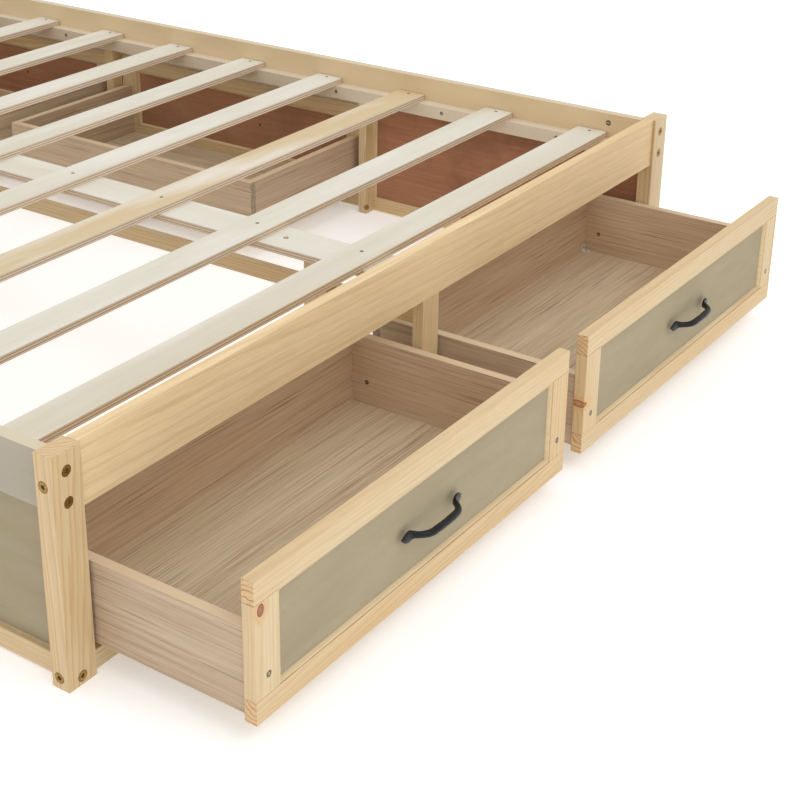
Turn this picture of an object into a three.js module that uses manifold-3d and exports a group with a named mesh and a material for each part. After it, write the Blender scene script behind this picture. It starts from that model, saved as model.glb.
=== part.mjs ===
// A queen-size platform bed in pine, with two storage drawers at the foot and two on each long side.
//
// Millimetres, +Z up. Every length below is in the bed's own coordinates: x = 0 on the centre line with
// +X to the right of someone who faces the foot end, y = 0 at the outer face of the foot posts with +Y
// towards the head, and z = 0 on the floor. The group at the end moves the bed so that the origin is the
// centre of its outline on the floor. The two foot drawers stand open and the four side drawers are shut.

import * as THREE from 'three';
import { mergeVertices } from 'three/addons/utils/BufferGeometryUtils.js';
import Module from 'manifold-3d';

const wasm = await Module();
wasm.setup();

// ---- Driving dimensions ----

const BED_WIDTH = 1600;
const BED_LENGTH = 2115;
const POST = { width: 48, depth: 28, height: 325 };
const BOARD = 18; // thickness of rails, fronts, legs and the head panel
const FLOOR_GAP = 3; // the rails hang this far above the floor

const END_INSET = 5; // outer face of the foot and head boards, behind the faces of the posts
const FOOT_TOP_RAIL_HEIGHT = 88;
const FOOT_BOTTOM_RAIL_HEIGHT = 28;
const FOOT_MID_POST_WIDTH = 44;

const SIDE_INSET = 16; // outer face of the side rails, inside the outer faces of the posts
const SIDE_TOP_RAIL = { bottom: 238, height: 78 };
const SIDE_BOTTOM_RAIL_HEIGHT = 30;
const LEDGER = { depth: 24, height: 26, top: 269 };
const BATTEN_DEPTH = 24; // the mid posts reach this far in from the side rails
const MULLION_WIDTH = 30; // the mid posts' outer strip, between two bays
const MID_POSTS = { foot: { battenStart: 646, end: 665 }, head: { battenStart: 1365, end: 1391 } };
const BATTEN_WIDTH = { foot: 19, head: 22 };
const BAY_PANEL = { thickness: 6, setback: 10 };

const CENTRE_BOARD = { width: 78, thickness: 12 };
const CENTRE_LEG = { width: 44, starts: { foot: 197, mid: 1130 } };
const STRETCHER = { thickness: 18, height: 24, bottom: 179 };
const SLAT = { count: 10, width: 61, thickness: 12, first: 104, pitch: 207, length: 1528 };

const FRONT = { bottom: 34, top: 229, rail: 32, stile: 44, panel: 6, recess: 6 };
const DRAWER_BOX = { bottom: 43, top: 161, wall: 15, floor: 4, depth: 366 };
const FOOT_FRONT = { inner: 28, outer: 750, boxInset: 3 };
const FOOT_DRAWER_OPEN = 255; // how far the foot drawers stand out
const SIDE_FRONT = { width: 690, gap: 3, boxWidth: 663 };

const HANDLE = { length: 140, projection: 28, barDiameter: 10.5, pad: 3.5, padHalfWidth: 9, height: 133 };
const HANDLE_LEAF = { neck: 44, shoulder: 54, neckHalfWidth: 5, swell: 4, taper: 8 };
const BAR_PATH = { foot: 49, elbow: 41, flat: 26, footRise: 3, elbowRise: 14, crown: 1.5 };
const HANDLE_ROUNDING = { curve: 6, path: 24 }; // straight pieces per quarter curve, and along the bar
const CONTACT_GAP = 0.3; // between a handle's pads and the front that they are screwed to

// ---- Colours of the materials ----

const PINE = { color: 0xd9bd92, roughness: 0.55 };
const PALE_RAIL = { color: 0xc9b493, roughness: 0.6 };
const SLAT_WOOD = { color: 0xd9d0bd, roughness: 0.7 };
const PANEL_PAINT = { color: 0xb0a788, roughness: 0.75 };
const DRAWER_BOARD = { color: 0xae957a, roughness: 0.65 };
const HANDLE_IRON = { color: 0x1c1c1e, roughness: 0.45, metalness: 0.8 };

const SIDES = { left: -1, right: 1 };

// ---- Derived places ----

const footBoard = [END_INSET, END_INSET + BOARD];
const headBoard = [BED_LENGTH - END_INSET - BOARD, BED_LENGTH - END_INSET];
const betweenPosts = [POST.depth, BED_LENGTH - POST.depth];
const postInner = BED_WIDTH / 2 - POST.width;
const railOuter = BED_WIDTH / 2 - SIDE_INSET;
const railInner = railOuter - BOARD;
const footTopRailBottom = POST.height - FOOT_TOP_RAIL_HEIGHT;
const footBottomRailTop = FLOOR_GAP + FOOT_BOTTOM_RAIL_HEIGHT;
const sideBottomRailTop = FLOOR_GAP + SIDE_BOTTOM_RAIL_HEIGHT;
const centreBoardBottom = LEDGER.top - CENTRE_BOARD.thickness;
const sideFrontStarts = {
  foot: MID_POSTS.foot.end + SIDE_FRONT.gap,
  head: MID_POSTS.head.end + SIDE_FRONT.gap,
};
const panelHeight = [FRONT.bottom + FRONT.rail, FRONT.top - FRONT.rail];

// ---- Solids ----

function material(finish) {
  return new THREE.MeshStandardMaterial({ metalness: 0, ...finish });
}

function boxGeometry(x, y, z) {
  const geometry = new THREE.BoxGeometry(x[1] - x[0], y[1] - y[0], z[1] - z[0]);
  return geometry.translate((x[0] + x[1]) / 2, (y[0] + y[1]) / 2, (z[0] + z[1]) / 2);
}

function solidOf(geometry) {
  const bare = geometry.clone();
  bare.deleteAttribute('normal');
  bare.deleteAttribute('uv');
  const merged = mergeVertices(bare);
  const vertProperties = new Float32Array(merged.attributes.position.array);
  const triVerts = new Uint32Array(merged.index.array);
  return new wasm.Manifold(new wasm.Mesh({ numProp: 3, vertProperties, triVerts }));
}

function geometryOf(solid) {
  const { vertProperties, triVerts } = solid.getMesh();
  const geometry = new THREE.BufferGeometry();
  geometry.setAttribute('position', new THREE.BufferAttribute(vertProperties, 3));
  geometry.setIndex(new THREE.BufferAttribute(triVerts, 1));
  geometry.computeVertexNormals();
  return geometry;
}

function named(name, geometry, finish) {
  const mesh = new THREE.Mesh(geometry, material(finish));
  mesh.name = name;
  return mesh;
}

// A square-edged board that fills the three spans.
function board(name, finish, x, y, z) {
  return named(name, boxGeometry(x, y, z), finish);
}

// The span on the given side of the centre line, from distances that grow outwards.
function onSide(side, near, far) {
  return side > 0 ? [near, far] : [-far, -near];
}

// ---- Frame ----

function posts() {
  const ends = { foot: [0, POST.depth], head: [BED_LENGTH - POST.depth, BED_LENGTH] };
  return Object.entries(ends).flatMap(([end, y]) =>
    Object.entries(SIDES).map(([label, side]) => {
      const x = onSide(side, postInner, BED_WIDTH / 2);
      return board(`post_${end}_${label}`, PINE, x, y, [0, POST.height]);
    }));
}

function footEnd() {
  const across = [-postInner, postInner];
  const middle = [-FOOT_MID_POST_WIDTH / 2, FOOT_MID_POST_WIDTH / 2];
  return [
    board('foot_top_rail', PINE, across, footBoard, [footTopRailBottom, POST.height]),
    board('foot_bottom_rail', PINE, across, footBoard, [FLOOR_GAP, footBottomRailTop]),
    board('foot_mid_post', PINE, middle, footBoard, [footBottomRailTop, footTopRailBottom]),
  ];
}

function headEnd() {
  return [board('head_panel', PINE, [-postInner, postInner], headBoard, [FLOOR_GAP, POST.height])];
}

function sideRails(label, side) {
  const plane = onSide(side, railInner, railOuter);
  const ledge = onSide(side, railInner - LEDGER.depth, railInner);
  const top = [SIDE_TOP_RAIL.bottom, SIDE_TOP_RAIL.bottom + SIDE_TOP_RAIL.height];
  return [
    board(`side_top_rail_${label}`, PALE_RAIL, plane, betweenPosts, top),
    board(`side_bottom_rail_${label}`, PINE, plane, betweenPosts, [FLOOR_GAP, sideBottomRailTop]),
    board(`side_ledger_${label}`, SLAT_WOOD, ledge, betweenPosts, [LEDGER.top - LEDGER.height, LEDGER.top]),
  ];
}

// A batten that stands on the floor inside the rails, with a strip between them that closes the bay.
function midPost(label, side, place) {
  const { battenStart, end } = MID_POSTS[place];
  const battenX = onSide(side, railInner - BATTEN_DEPTH, railInner);
  const battenY = [battenStart, battenStart + BATTEN_WIDTH[place]];
  const batten = boxGeometry(battenX, battenY, [0, LEDGER.top - LEDGER.height]);
  const stripX = onSide(side, railInner, railOuter);
  const strip = boxGeometry(stripX, [end - MULLION_WIDTH, end], [sideBottomRailTop, SIDE_TOP_RAIL.bottom]);
  const solid = solidOf(batten).add(solidOf(strip));
  return named(`mid_post_${label}_${place}`, geometryOf(solid), PINE);
}

// The fixed plywood panel that closes the bay next to the foot on each side.
function bayPanel(label, side) {
  const outer = railOuter - BAY_PANEL.setback;
  const y = [POST.depth, MID_POSTS.foot.end - MULLION_WIDTH];
  const z = [sideBottomRailTop, SIDE_TOP_RAIL.bottom];
  return board(`bay_panel_${label}`, PANEL_PAINT, onSide(side, outer - BAY_PANEL.thickness, outer), y, z);
}

function sideWall(label, side) {
  return [
    ...sideRails(label, side),
    ...Object.keys(MID_POSTS).map((place) => midPost(label, side, place)),
    bayPanel(label, side),
  ];
}

// ---- Slat deck and its centre support ----

function centreSupport() {
  const between = [footBoard[1], headBoard[0]];
  const halfLeg = BOARD / 2;
  const boardX = [-CENTRE_BOARD.width / 2, CENTRE_BOARD.width / 2];
  const stretcherX = [halfLeg, halfLeg + STRETCHER.thickness];
  const stretcherZ = [STRETCHER.bottom, STRETCHER.bottom + STRETCHER.height];
  const legs = Object.entries(CENTRE_LEG.starts).map(([place, start]) => {
    const y = [start, start + CENTRE_LEG.width];
    return board(`centre_leg_${place}`, PINE, [-halfLeg, halfLeg], y, [0, centreBoardBottom]);
  });
  return [
    board('centre_board', SLAT_WOOD, boardX, between, [centreBoardBottom, LEDGER.top]),
    board('centre_stretcher', PINE, stretcherX, between, stretcherZ),
    ...legs,
  ];
}

function slats() {
  const x = [-SLAT.length / 2, SLAT.length / 2];
  const z = [LEDGER.top, LEDGER.top + SLAT.thickness];
  return Array.from({ length: SLAT.count }, (_, index) => {
    const start = SLAT.first + index * SLAT.pitch;
    const name = `slat_${String(index + 1).padStart(2, '0')}`;
    return board(name, SLAT_WOOD, x, [start, start + SLAT.width], z);
  });
}

// ---- Handles ----

// One flat pointed leaf against the drawer front, on the side of the handle that direction says.
function leafGeometry(direction) {
  const { neck, shoulder, neckHalfWidth } = HANDLE_LEAF;
  const tip = direction * HANDLE.length / 2;
  const half = HANDLE.padHalfWidth;
  const stations = [neck, shoulder - HANDLE_LEAF.swell, shoulder, shoulder + HANDLE_LEAF.taper];
  const [start, swell, widest, taper] = stations.map((along) => direction * along);
  const outline = new THREE.Shape();
  outline.moveTo(start, -neckHalfWidth);
  outline.quadraticCurveTo(swell, -half, widest, -half);
  outline.quadraticCurveTo(taper, -half, tip, 0);
  outline.quadraticCurveTo(taper, half, widest, half);
  outline.quadraticCurveTo(swell, half, start, neckHalfWidth);
  const settings = { depth: HANDLE.pad, bevelEnabled: false, curveSegments: HANDLE_ROUNDING.curve };
  return new THREE.ExtrudeGeometry(outline, settings).rotateX(Math.PI / 2);
}

// The bar: a round rod that rises from one leaf, runs almost level and comes down to the other.
function barGeometry() {
  const radius = HANDLE.barDiameter / 2;
  const level = HANDLE.projection - CONTACT_GAP - radius;
  const { foot, elbow, flat, footRise, elbowRise, crown } = BAR_PATH;
  const half = [[foot, footRise], [elbow, elbowRise], [flat, level - crown]];
  const points = [
    ...half.map(([along, rise]) => [-along, rise]),
    [0, level],
    ...half.toReversed(),
  ];
  const path = new THREE.CatmullRomCurve3(points.map(([along, rise]) => new THREE.Vector3(along, -rise, 0)));
  const section = new THREE.Shape().absarc(0, 0, radius, 0, 2 * Math.PI);
  const { curve, path: steps } = HANDLE_ROUNDING;
  return new THREE.ExtrudeGeometry(section, { steps, curveSegments: curve, extrudePath: path });
}

// Length along x, with the pads' backs at y = 0 and the bar out at -y.
function handleGeometry() {
  const bar = solidOf(barGeometry());
  return geometryOf(bar.add(solidOf(leafGeometry(1))).add(solidOf(leafGeometry(-1))));
}

function handle(name, x, y, turn) {
  const mesh = named(name, handleGeometry(), HANDLE_IRON);
  mesh.position.set(x, y, HANDLE.height);
  mesh.rotation.z = turn;
  return mesh;
}

// ---- Drawers ----

// The foot drawers' fronts are a pine frame, 18 thick, around a plywood panel that lies back from both faces.
function footFrame(name, x, y) {
  const slab = solidOf(boxGeometry(x, y, [FRONT.bottom, FRONT.top]));
  const opening = solidOf(boxGeometry([x[0] + FRONT.stile, x[1] - FRONT.stile], y, panelHeight));
  return named(name, geometryOf(slab.subtract(opening)), PINE);
}

function footPanel(name, x, y) {
  const panelX = [x[0] + FRONT.stile, x[1] - FRONT.stile];
  const panelY = [y[0] + FRONT.recess, y[0] + FRONT.recess + FRONT.panel];
  return board(name, PANEL_PAINT, panelX, panelY, panelHeight);
}

function footDrawer(label, side) {
  const name = `foot_drawer_${label}`;
  const frontX = onSide(side, FOOT_FRONT.inner, FOOT_FRONT.outer);
  const frontY = footBoard.map((y) => y - FOOT_DRAWER_OPEN);
  const [x0, x1] = [frontX[0] + FOOT_FRONT.boxInset, frontX[1] - FOOT_FRONT.boxInset];
  const { wall, floor, depth, bottom, top } = DRAWER_BOX;
  const boxZ = [bottom, top];
  const sideY = [frontY[1], frontY[1] + depth - wall];
  const inside = [x0 + wall, x1 - wall];
  return [
    footFrame(`${name}_frame`, frontX, frontY),
    footPanel(`${name}_panel`, frontX, frontY),
    board(`${name}_side_left`, DRAWER_BOARD, [x0, x0 + wall], sideY, boxZ),
    board(`${name}_side_right`, DRAWER_BOARD, [x1 - wall, x1], sideY, boxZ),
    board(`${name}_back`, DRAWER_BOARD, [x0, x1], [sideY[1], sideY[1] + wall], boxZ),
    board(`${name}_bottom`, DRAWER_BOARD, inside, sideY, [bottom, bottom + floor]),
    handle(`${name}_handle`, (frontX[0] + frontX[1]) / 2, frontY[0] - CONTACT_GAP, 0),
  ];
}

// A side drawer's front: one slab with the same raised frame, sunk on both faces over the panel.
function sideFront(name, side, y) {
  const slab = solidOf(boxGeometry(onSide(side, railInner, railOuter), y, [FRONT.bottom, FRONT.top]));
  const sunkY = [y[0] + FRONT.stile, y[1] - FRONT.stile];
  const inner = onSide(side, railInner, railInner + FRONT.recess);
  const outer = onSide(side, railOuter - FRONT.recess, railOuter);
  const cut = (rest, x) => rest.subtract(solidOf(boxGeometry(x, sunkY, panelHeight)));
  const solid = [inner, outer].reduce(cut, slab);
  return named(name, geometryOf(solid), PINE);
}

// The four walls and the floor of a side drawer, open at the top and shut by the front on its outer side.
function sideBox(name, side, y) {
  const { wall, floor, depth, bottom, top } = DRAWER_BOX;
  const outer = boxGeometry(onSide(side, railInner - depth, railInner), y, [bottom, top]);
  const cavityX = onSide(side, railInner - depth + wall, railInner);
  const cavity = boxGeometry(cavityX, [y[0] + wall, y[1] - wall], [bottom + floor, top]);
  return named(name, geometryOf(solidOf(outer).subtract(solidOf(cavity))), DRAWER_BOARD);
}

function sideDrawer(label, side, place) {
  const name = `side_drawer_${label}_${place}`;
  const start = sideFrontStarts[place];
  const centre = start + SIDE_FRONT.width / 2;
  const boxY = [centre - SIDE_FRONT.boxWidth / 2, centre + SIDE_FRONT.boxWidth / 2];
  return [
    sideFront(`${name}_front`, side, [start, start + SIDE_FRONT.width]),
    sideBox(`${name}_box`, side, boxY),
    handle(`${name}_handle`, side * (railOuter + CONTACT_GAP), centre, side * Math.PI / 2),
  ];
}

// ---- The whole bed ----

const bed = new THREE.Group();
bed.add(...posts(), ...footEnd(), ...headEnd(), ...centreSupport(), ...slats());
for (const [label, side] of Object.entries(SIDES)) {
  bed.add(...sideWall(label, side), ...footDrawer(label, side));
  for (const place of Object.keys(MID_POSTS)) bed.add(...sideDrawer(label, side, place));
}

const footMost = END_INSET - FOOT_DRAWER_OPEN - HANDLE.projection;
bed.position.y = -(BED_LENGTH + footMost) / 2;

export default bed;
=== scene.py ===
"""The looks of a queen-size pine platform bed with six storage drawers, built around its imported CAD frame.

Everything is in metres in the row frame: +X to the right of someone facing the foot end, +Y from the foot
towards the head, +Z up. Places come from the frame's boxes, and sizes that the frame doesn't hold are named
below. Boards that show one plain grain keep their CAD mesh. The drawer fronts, the side drawers' boxes, the
handles and the drilled posts are built here in more detail and stand for their CAD nodes.
"""

import math
import random
from functools import partial

import bmesh
import bpy
from mathutils import Matrix, Vector


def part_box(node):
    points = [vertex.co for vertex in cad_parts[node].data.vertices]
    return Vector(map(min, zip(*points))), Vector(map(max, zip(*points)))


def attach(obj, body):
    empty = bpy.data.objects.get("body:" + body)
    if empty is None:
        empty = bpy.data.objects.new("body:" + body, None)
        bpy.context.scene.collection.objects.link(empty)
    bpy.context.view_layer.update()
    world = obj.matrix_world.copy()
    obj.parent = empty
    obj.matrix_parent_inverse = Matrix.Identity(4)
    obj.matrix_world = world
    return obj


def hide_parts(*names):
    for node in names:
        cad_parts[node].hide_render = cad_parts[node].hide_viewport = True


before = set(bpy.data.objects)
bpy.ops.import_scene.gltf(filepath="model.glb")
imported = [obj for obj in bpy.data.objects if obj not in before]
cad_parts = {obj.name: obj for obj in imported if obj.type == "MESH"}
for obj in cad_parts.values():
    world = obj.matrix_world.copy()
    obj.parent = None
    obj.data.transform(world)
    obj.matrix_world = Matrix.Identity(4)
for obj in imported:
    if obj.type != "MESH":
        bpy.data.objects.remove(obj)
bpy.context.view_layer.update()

MM = 0.001


def mm(**sizes):
    """Named sizes in millimetres, as metres."""
    return {name: size * MM for name, size in sizes.items()}


SIDES = {"left": -1, "right": 1}
PLACES = ("foot", "head")
FOOT_DRAWERS = [f"foot_drawer_{label}" for label in SIDES]
SIDE_DRAWERS = [f"side_drawer_{label}_{place}" for label in SIDES for place in PLACES]
FRAME_BODY = "bed_frame"

# Drawer fronts, in metres
FRONT_RAIL = 32 * MM
FRONT_STILE = 44 * MM
PANEL_RECESS = 6 * MM
BOARD_EDGE = 0.8 * MM  # rounding of the boards' edges
PANEL_EDGE = 0.2 * MM
BAY_PANEL_EDGE = 0.3 * MM
BOTTOM_EDGE = 0.1 * MM
LAMINATE_EDGE = 0.4 * MM
SLAT_EDGE = 1.2 * MM
JOINT_GAP = 0.15 * MM  # half of the fine line between two glued boards


# ---- Camera, light and floor ----

CAMERA_PLACE = (-1.8938, -2.1156, 1.2240)
CAMERA_HEADING = 35.06  # degrees from +X towards +Y
CAMERA_DIP = 23.9  # degrees below the horizon
CAMERA_ROLL = 0.3
CAMERA_FOCAL = 2.0106  # focal length over sensor width
CAMERA_SHIFT = (0.0465, -0.125)
CAMERA_CLIP = (0.05, 60)
SENSOR = 36.0
WHITE = (1, 1, 1)
SKY_STRENGTH = 0.82
KEY_LIGHT = {"place": (-1.0, -3.6, 3.6), "size": (3.0, 2.0), "power": 38, "colour": (1.0, 0.98, 0.95)}
TOP_LIGHT = {"place": (0.8, 0.8, 4.4), "size": (4.0, 4.0), "power": 40, "colour": WHITE}
FLOOR_HALF = 12
FLOOR_GREY = (0.93, 0.93, 0.93)
FLOOR_ROUGHNESS = 0.9
FLOOR_GLOW = 0.3


def add_object(name, data):
    thing = bpy.data.objects.new(name, data)
    bpy.context.scene.collection.objects.link(thing)
    return thing


def make_camera():
    data = bpy.data.cameras.new("camera")
    data.sensor_width = SENSOR
    data.lens = CAMERA_FOCAL * SENSOR
    data.shift_x, data.shift_y = CAMERA_SHIFT
    data.clip_start, data.clip_end = CAMERA_CLIP
    camera = add_object("camera", data)
    turn = Matrix.Rotation(math.radians(CAMERA_HEADING - 90), 4, "Z")
    tilt = Matrix.Rotation(math.radians(90 - CAMERA_DIP), 4, "X")
    roll = Matrix.Rotation(math.radians(CAMERA_ROLL), 4, "Z")
    camera.matrix_world = Matrix.Translation(CAMERA_PLACE) @ turn @ tilt @ roll
    bpy.context.scene.camera = camera


def make_area_light(name, place, size, power, colour):
    """A soft light that looks at the origin."""
    data = bpy.data.lights.new(name, "AREA")
    data.shape = "RECTANGLE"
    data.size, data.size_y = size
    data.energy = power
    data.color = colour
    light = add_object(name, data)
    light.location = place
    light.rotation_euler = (-Vector(place)).to_track_quat("-Z", "Y").to_euler()


def make_world():
    """An even white sky, with a brighter white where the camera looks straight at it."""
    world = bpy.data.worlds.new("studio")
    world.use_nodes = True
    nodes, links = world.node_tree.nodes, world.node_tree.links
    sky = nodes["Background"]
    sky.inputs["Color"].default_value = (*WHITE, 1)
    sky.inputs["Strength"].default_value = SKY_STRENGTH
    backdrop = nodes.new("ShaderNodeBackground")
    backdrop.inputs["Color"].default_value = (*WHITE, 1)
    seen = nodes.new("ShaderNodeMixShader")
    links.new(nodes.new("ShaderNodeLightPath").outputs["Is Camera Ray"], seen.inputs[0])
    links.new(sky.outputs[0], seen.inputs[1])
    links.new(backdrop.outputs[0], seen.inputs[2])
    links.new(seen.outputs[0], nodes["World Output"].inputs["Surface"])
    bpy.context.scene.world = world


def make_floor():
    mesh = bpy.data.meshes.new("floor")
    corners = [(x * FLOOR_HALF, y * FLOOR_HALF, 0) for x, y in ((-1, -1), (1, -1), (1, 1), (-1, 1))]
    mesh.from_pydata(corners, [], [(0, 1, 2, 3)])
    floor = add_object("floor", mesh)
    material = bpy.data.materials.new("floor")
    material.use_nodes = True
    shader = material.node_tree.nodes["Principled BSDF"]
    shader.inputs["Base Color"].default_value = (*FLOOR_GREY, 1)
    shader.inputs["Roughness"].default_value = FLOOR_ROUGHNESS
    shader.inputs["Emission Color"].default_value = (*WHITE, 1)
    shader.inputs["Emission Strength"].default_value = FLOOR_GLOW
    mesh.materials.append(material)


def make_studio():
    bpy.context.scene.view_settings.view_transform = "Standard"
    make_world()
    make_area_light("key", **KEY_LIGHT)
    make_area_light("top", **TOP_LIGHT)
    make_floor()


# ---- Material building blocks ----

class Graph:
    """A material's node tree, with short calls for the nodes that the materials below share."""

    def __init__(self, name, roughness=0.6, **constants):
        self.material = bpy.data.materials.new(name)
        self.material.use_nodes = True
        self.tree = self.material.node_tree
        self.shader = self.tree.nodes["Principled BSDF"]
        self.shader.inputs["Roughness"].default_value = roughness
        for socket, value in constants.items():
            self.shader.inputs[socket.replace("_", " ")].default_value = value

    def put(self, socket, value):
        if isinstance(value, bpy.types.NodeSocket):
            self.tree.links.new(value, socket)
        else:
            socket.default_value = value

    def node(self, kind, inputs=(), **settings):
        node = self.tree.nodes.new(kind)
        for key, value in settings.items():
            setattr(node, key, value)
        for key, value in dict(inputs).items():
            self.put(node.inputs[key], value)
        return node

    def place(self):
        return self.node("ShaderNodeTexCoord").outputs["Object"]

    def facing(self):
        return self.node("ShaderNodeTexCoord").outputs["Normal"]

    def split(self, vector):
        return self.node("ShaderNodeSeparateXYZ", {0: vector}).outputs

    def math(self, operation, a, b=0.0):
        return self.node("ShaderNodeMath", {0: a, 1: b}, operation=operation).outputs[0]

    def plus(self, a, b):
        return self.math("ADD", a, b)

    def times(self, a, b):
        return self.math("MULTIPLY", a, b)

    def above(self, a, b):
        return self.math("GREATER_THAN", a, b)

    def below(self, a, b):
        return self.math("LESS_THAN", a, b)

    def mapped(self, vector, move=(0, 0, 0), turn=(0, 0, 0), scale=(1, 1, 1)):
        inputs = {"Vector": vector, "Location": move, "Rotation": turn, "Scale": scale}
        return self.node("ShaderNodeMapping", inputs).outputs[0]

    def noise(self, vector, scale, detail=2.0, roughness=0.5, move=None):
        if move:
            vector = self.mapped(vector, move=move)
        inputs = {"Vector": vector, "Scale": scale, "Detail": detail, "Roughness": roughness}
        return self.node("ShaderNodeTexNoise", inputs).outputs["Fac"]

    def ramp(self, factor, stops, interpolation="LINEAR"):
        node = self.node("ShaderNodeValToRGB", {0: factor})
        ramp = node.color_ramp
        ramp.interpolation = interpolation
        while len(ramp.elements) < len(stops):
            ramp.elements.new(0.5)
        for element, (position, colour) in zip(ramp.elements, stops):
            element.position = position
            element.color = (*colour, 1) if hasattr(colour, "__len__") else (colour, colour, colour, 1)
        return node.outputs["Color"]

    def mix(self, factor, a, b, blend="MIX"):
        node = self.node("ShaderNodeMix", data_type="RGBA", blend_type=blend)
        for socket, value in ((node.inputs[0], factor), (node.inputs[6], a), (node.inputs[7], b)):
            if not isinstance(value, bpy.types.NodeSocket) and hasattr(value, "__len__"):
                value = (*value[:3], 1)
            self.put(socket, value)
        return node.outputs[2]

    def lay(self, upper, lower, noise, start, end, strength):
        """The lower colour, with the upper one laid over it more as the noise goes from start to end."""
        return self.mix(self.ramp(noise, [(start, 0.0), (end, strength)]), lower, upper)

    def looks_along(self, axis):
        """1 on the faces that look one way or the other along the axis, else 0."""
        return self.above(self.math("ABSOLUTE", self.split(self.facing())[AXES[axis]]), FLAT)

    def finish(self, colour, roughness=None, height=None, strength=0.3, distance=0.0004):
        self.put(self.shader.inputs["Base Color"], colour)
        if roughness is not None:
            self.put(self.shader.inputs["Roughness"], roughness)
        if height is not None:
            inputs = {"Height": height, "Strength": strength, "Distance": distance}
            self.put(self.shader.inputs["Normal"], self.node("ShaderNodeBump", inputs).outputs[0])
        return self.material


def rgb(red, green, blue):
    """A colour written as 0-255 values on a screen, as the linear numbers that shaders use."""
    def one(value):
        value /= 255
        return value / 12.92 if value <= 0.04045 else ((value + 0.055) / 1.055) ** 2.4
    return tuple(one(value) for value in (red, green, blue))


AXES = {"x": 0, "y": 1, "z": 2}
FLAT = 0.7  # a face looks along an axis where its normal reaches this on it
STRETCH = 0.045  # fibre noise is this much finer across the grain than along it


def axis_scale(axis, factor):
    scale = [1.0, 1.0, 1.0]
    scale[AXES[axis]] = factor
    return scale


def along_grain(graph, axis, squeeze=STRETCH):
    """Coordinates in which a noise looks drawn out along the board's grain."""
    return graph.mapped(graph.place(), scale=axis_scale(axis, squeeze))


# ---- Pine ----

PINE_EARLY = rgb(219, 200, 162)
PINE_BRIGHT = rgb(240, 215, 170)
PINE_MIDDLE = rgb(207, 180, 136)
PINE_LATE = rgb(178, 134, 83)
PINE_TINT = rgb(216, 177, 121)
PINE_END = rgb(220, 186, 140)
PINE_END_RING = rgb(150, 92, 48)
KNOT_DARK = rgb(120, 66, 36)
KNOT_CORE = rgb(176, 108, 74)
KNOT_HALO = rgb(216, 158, 102)
RING_SPACING = 5.2 * MM
WIDE_RINGS = 14 * MM  # the rings as they show on a board that is sawn nearly along them
PITH_ACROSS, PITH_DEEP = (0.02, 0.05), (0.03, 0.08)  # least and most distance of the pith from the middle
RING_WOBBLE, RING_RIPPLE, RING_UNEVEN = 0.035, 0.004, 0.016  # metres that noise moves the growth rings
RING_TONES = [(0.0, 0.02), (0.5, 0.2), (0.84, 1.0), (0.92, 0.7), (1.0, 0.02)]
SAWN_RING_TONES = [(0.62, 0.0), (0.86, 1.0), (0.96, 0.0)]
KNOT_RINGS = [(0.0, 0.3), (0.25, 0.15), (0.42, 0.75), (0.56, 0.15), (0.84, 1.0), (1.0, 0.0)]
KNOT_GLOW = [(0.35, 0.6), (1.0, 0.0)]
KNOT_BEND = 1.9  # how far a knot pushes the growth rings, in its radii
KNOT_CORE_REACH, KNOT_GLOW_REACH = 0.92, 2.5  # in its radii too


def strongest(graph, first, second):
    return second if first is None else graph.math("MAXIMUM", first, second)


def add_knots(graph, place, axis, radius, knots):
    """Bends the growth rings round the knots. Returns the new radius, and how strongly the knots' dark rings,
    their cores and the glow round them show: None where there are no knots."""
    rings = core = glow = None
    for x, y, z, size, squeeze, fill in knots:
        offset = graph.node("ShaderNodeVectorMath", {0: place, 1: (x, y, z)}, operation="SUBTRACT").outputs[0]
        offset = graph.mapped(offset, scale=axis_scale(axis, squeeze))
        reach = graph.node("ShaderNodeVectorMath", {0: offset}, operation="LENGTH").outputs["Value"]
        share = graph.math("DIVIDE", reach, size)
        bell = graph.math("EXPONENT", graph.times(graph.math("POWER", share, 1.6), -0.8))
        radius = graph.plus(radius, graph.times(bell, size * KNOT_BEND))
        glow = strongest(graph, glow, graph.ramp(graph.times(share, 1 / KNOT_GLOW_REACH), KNOT_GLOW))
        rings = strongest(graph, rings, graph.ramp(share, KNOT_RINGS))
        core = strongest(graph, core, graph.times(graph.below(share, KNOT_CORE_REACH), fill))
    return radius, rings, core, glow


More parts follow.
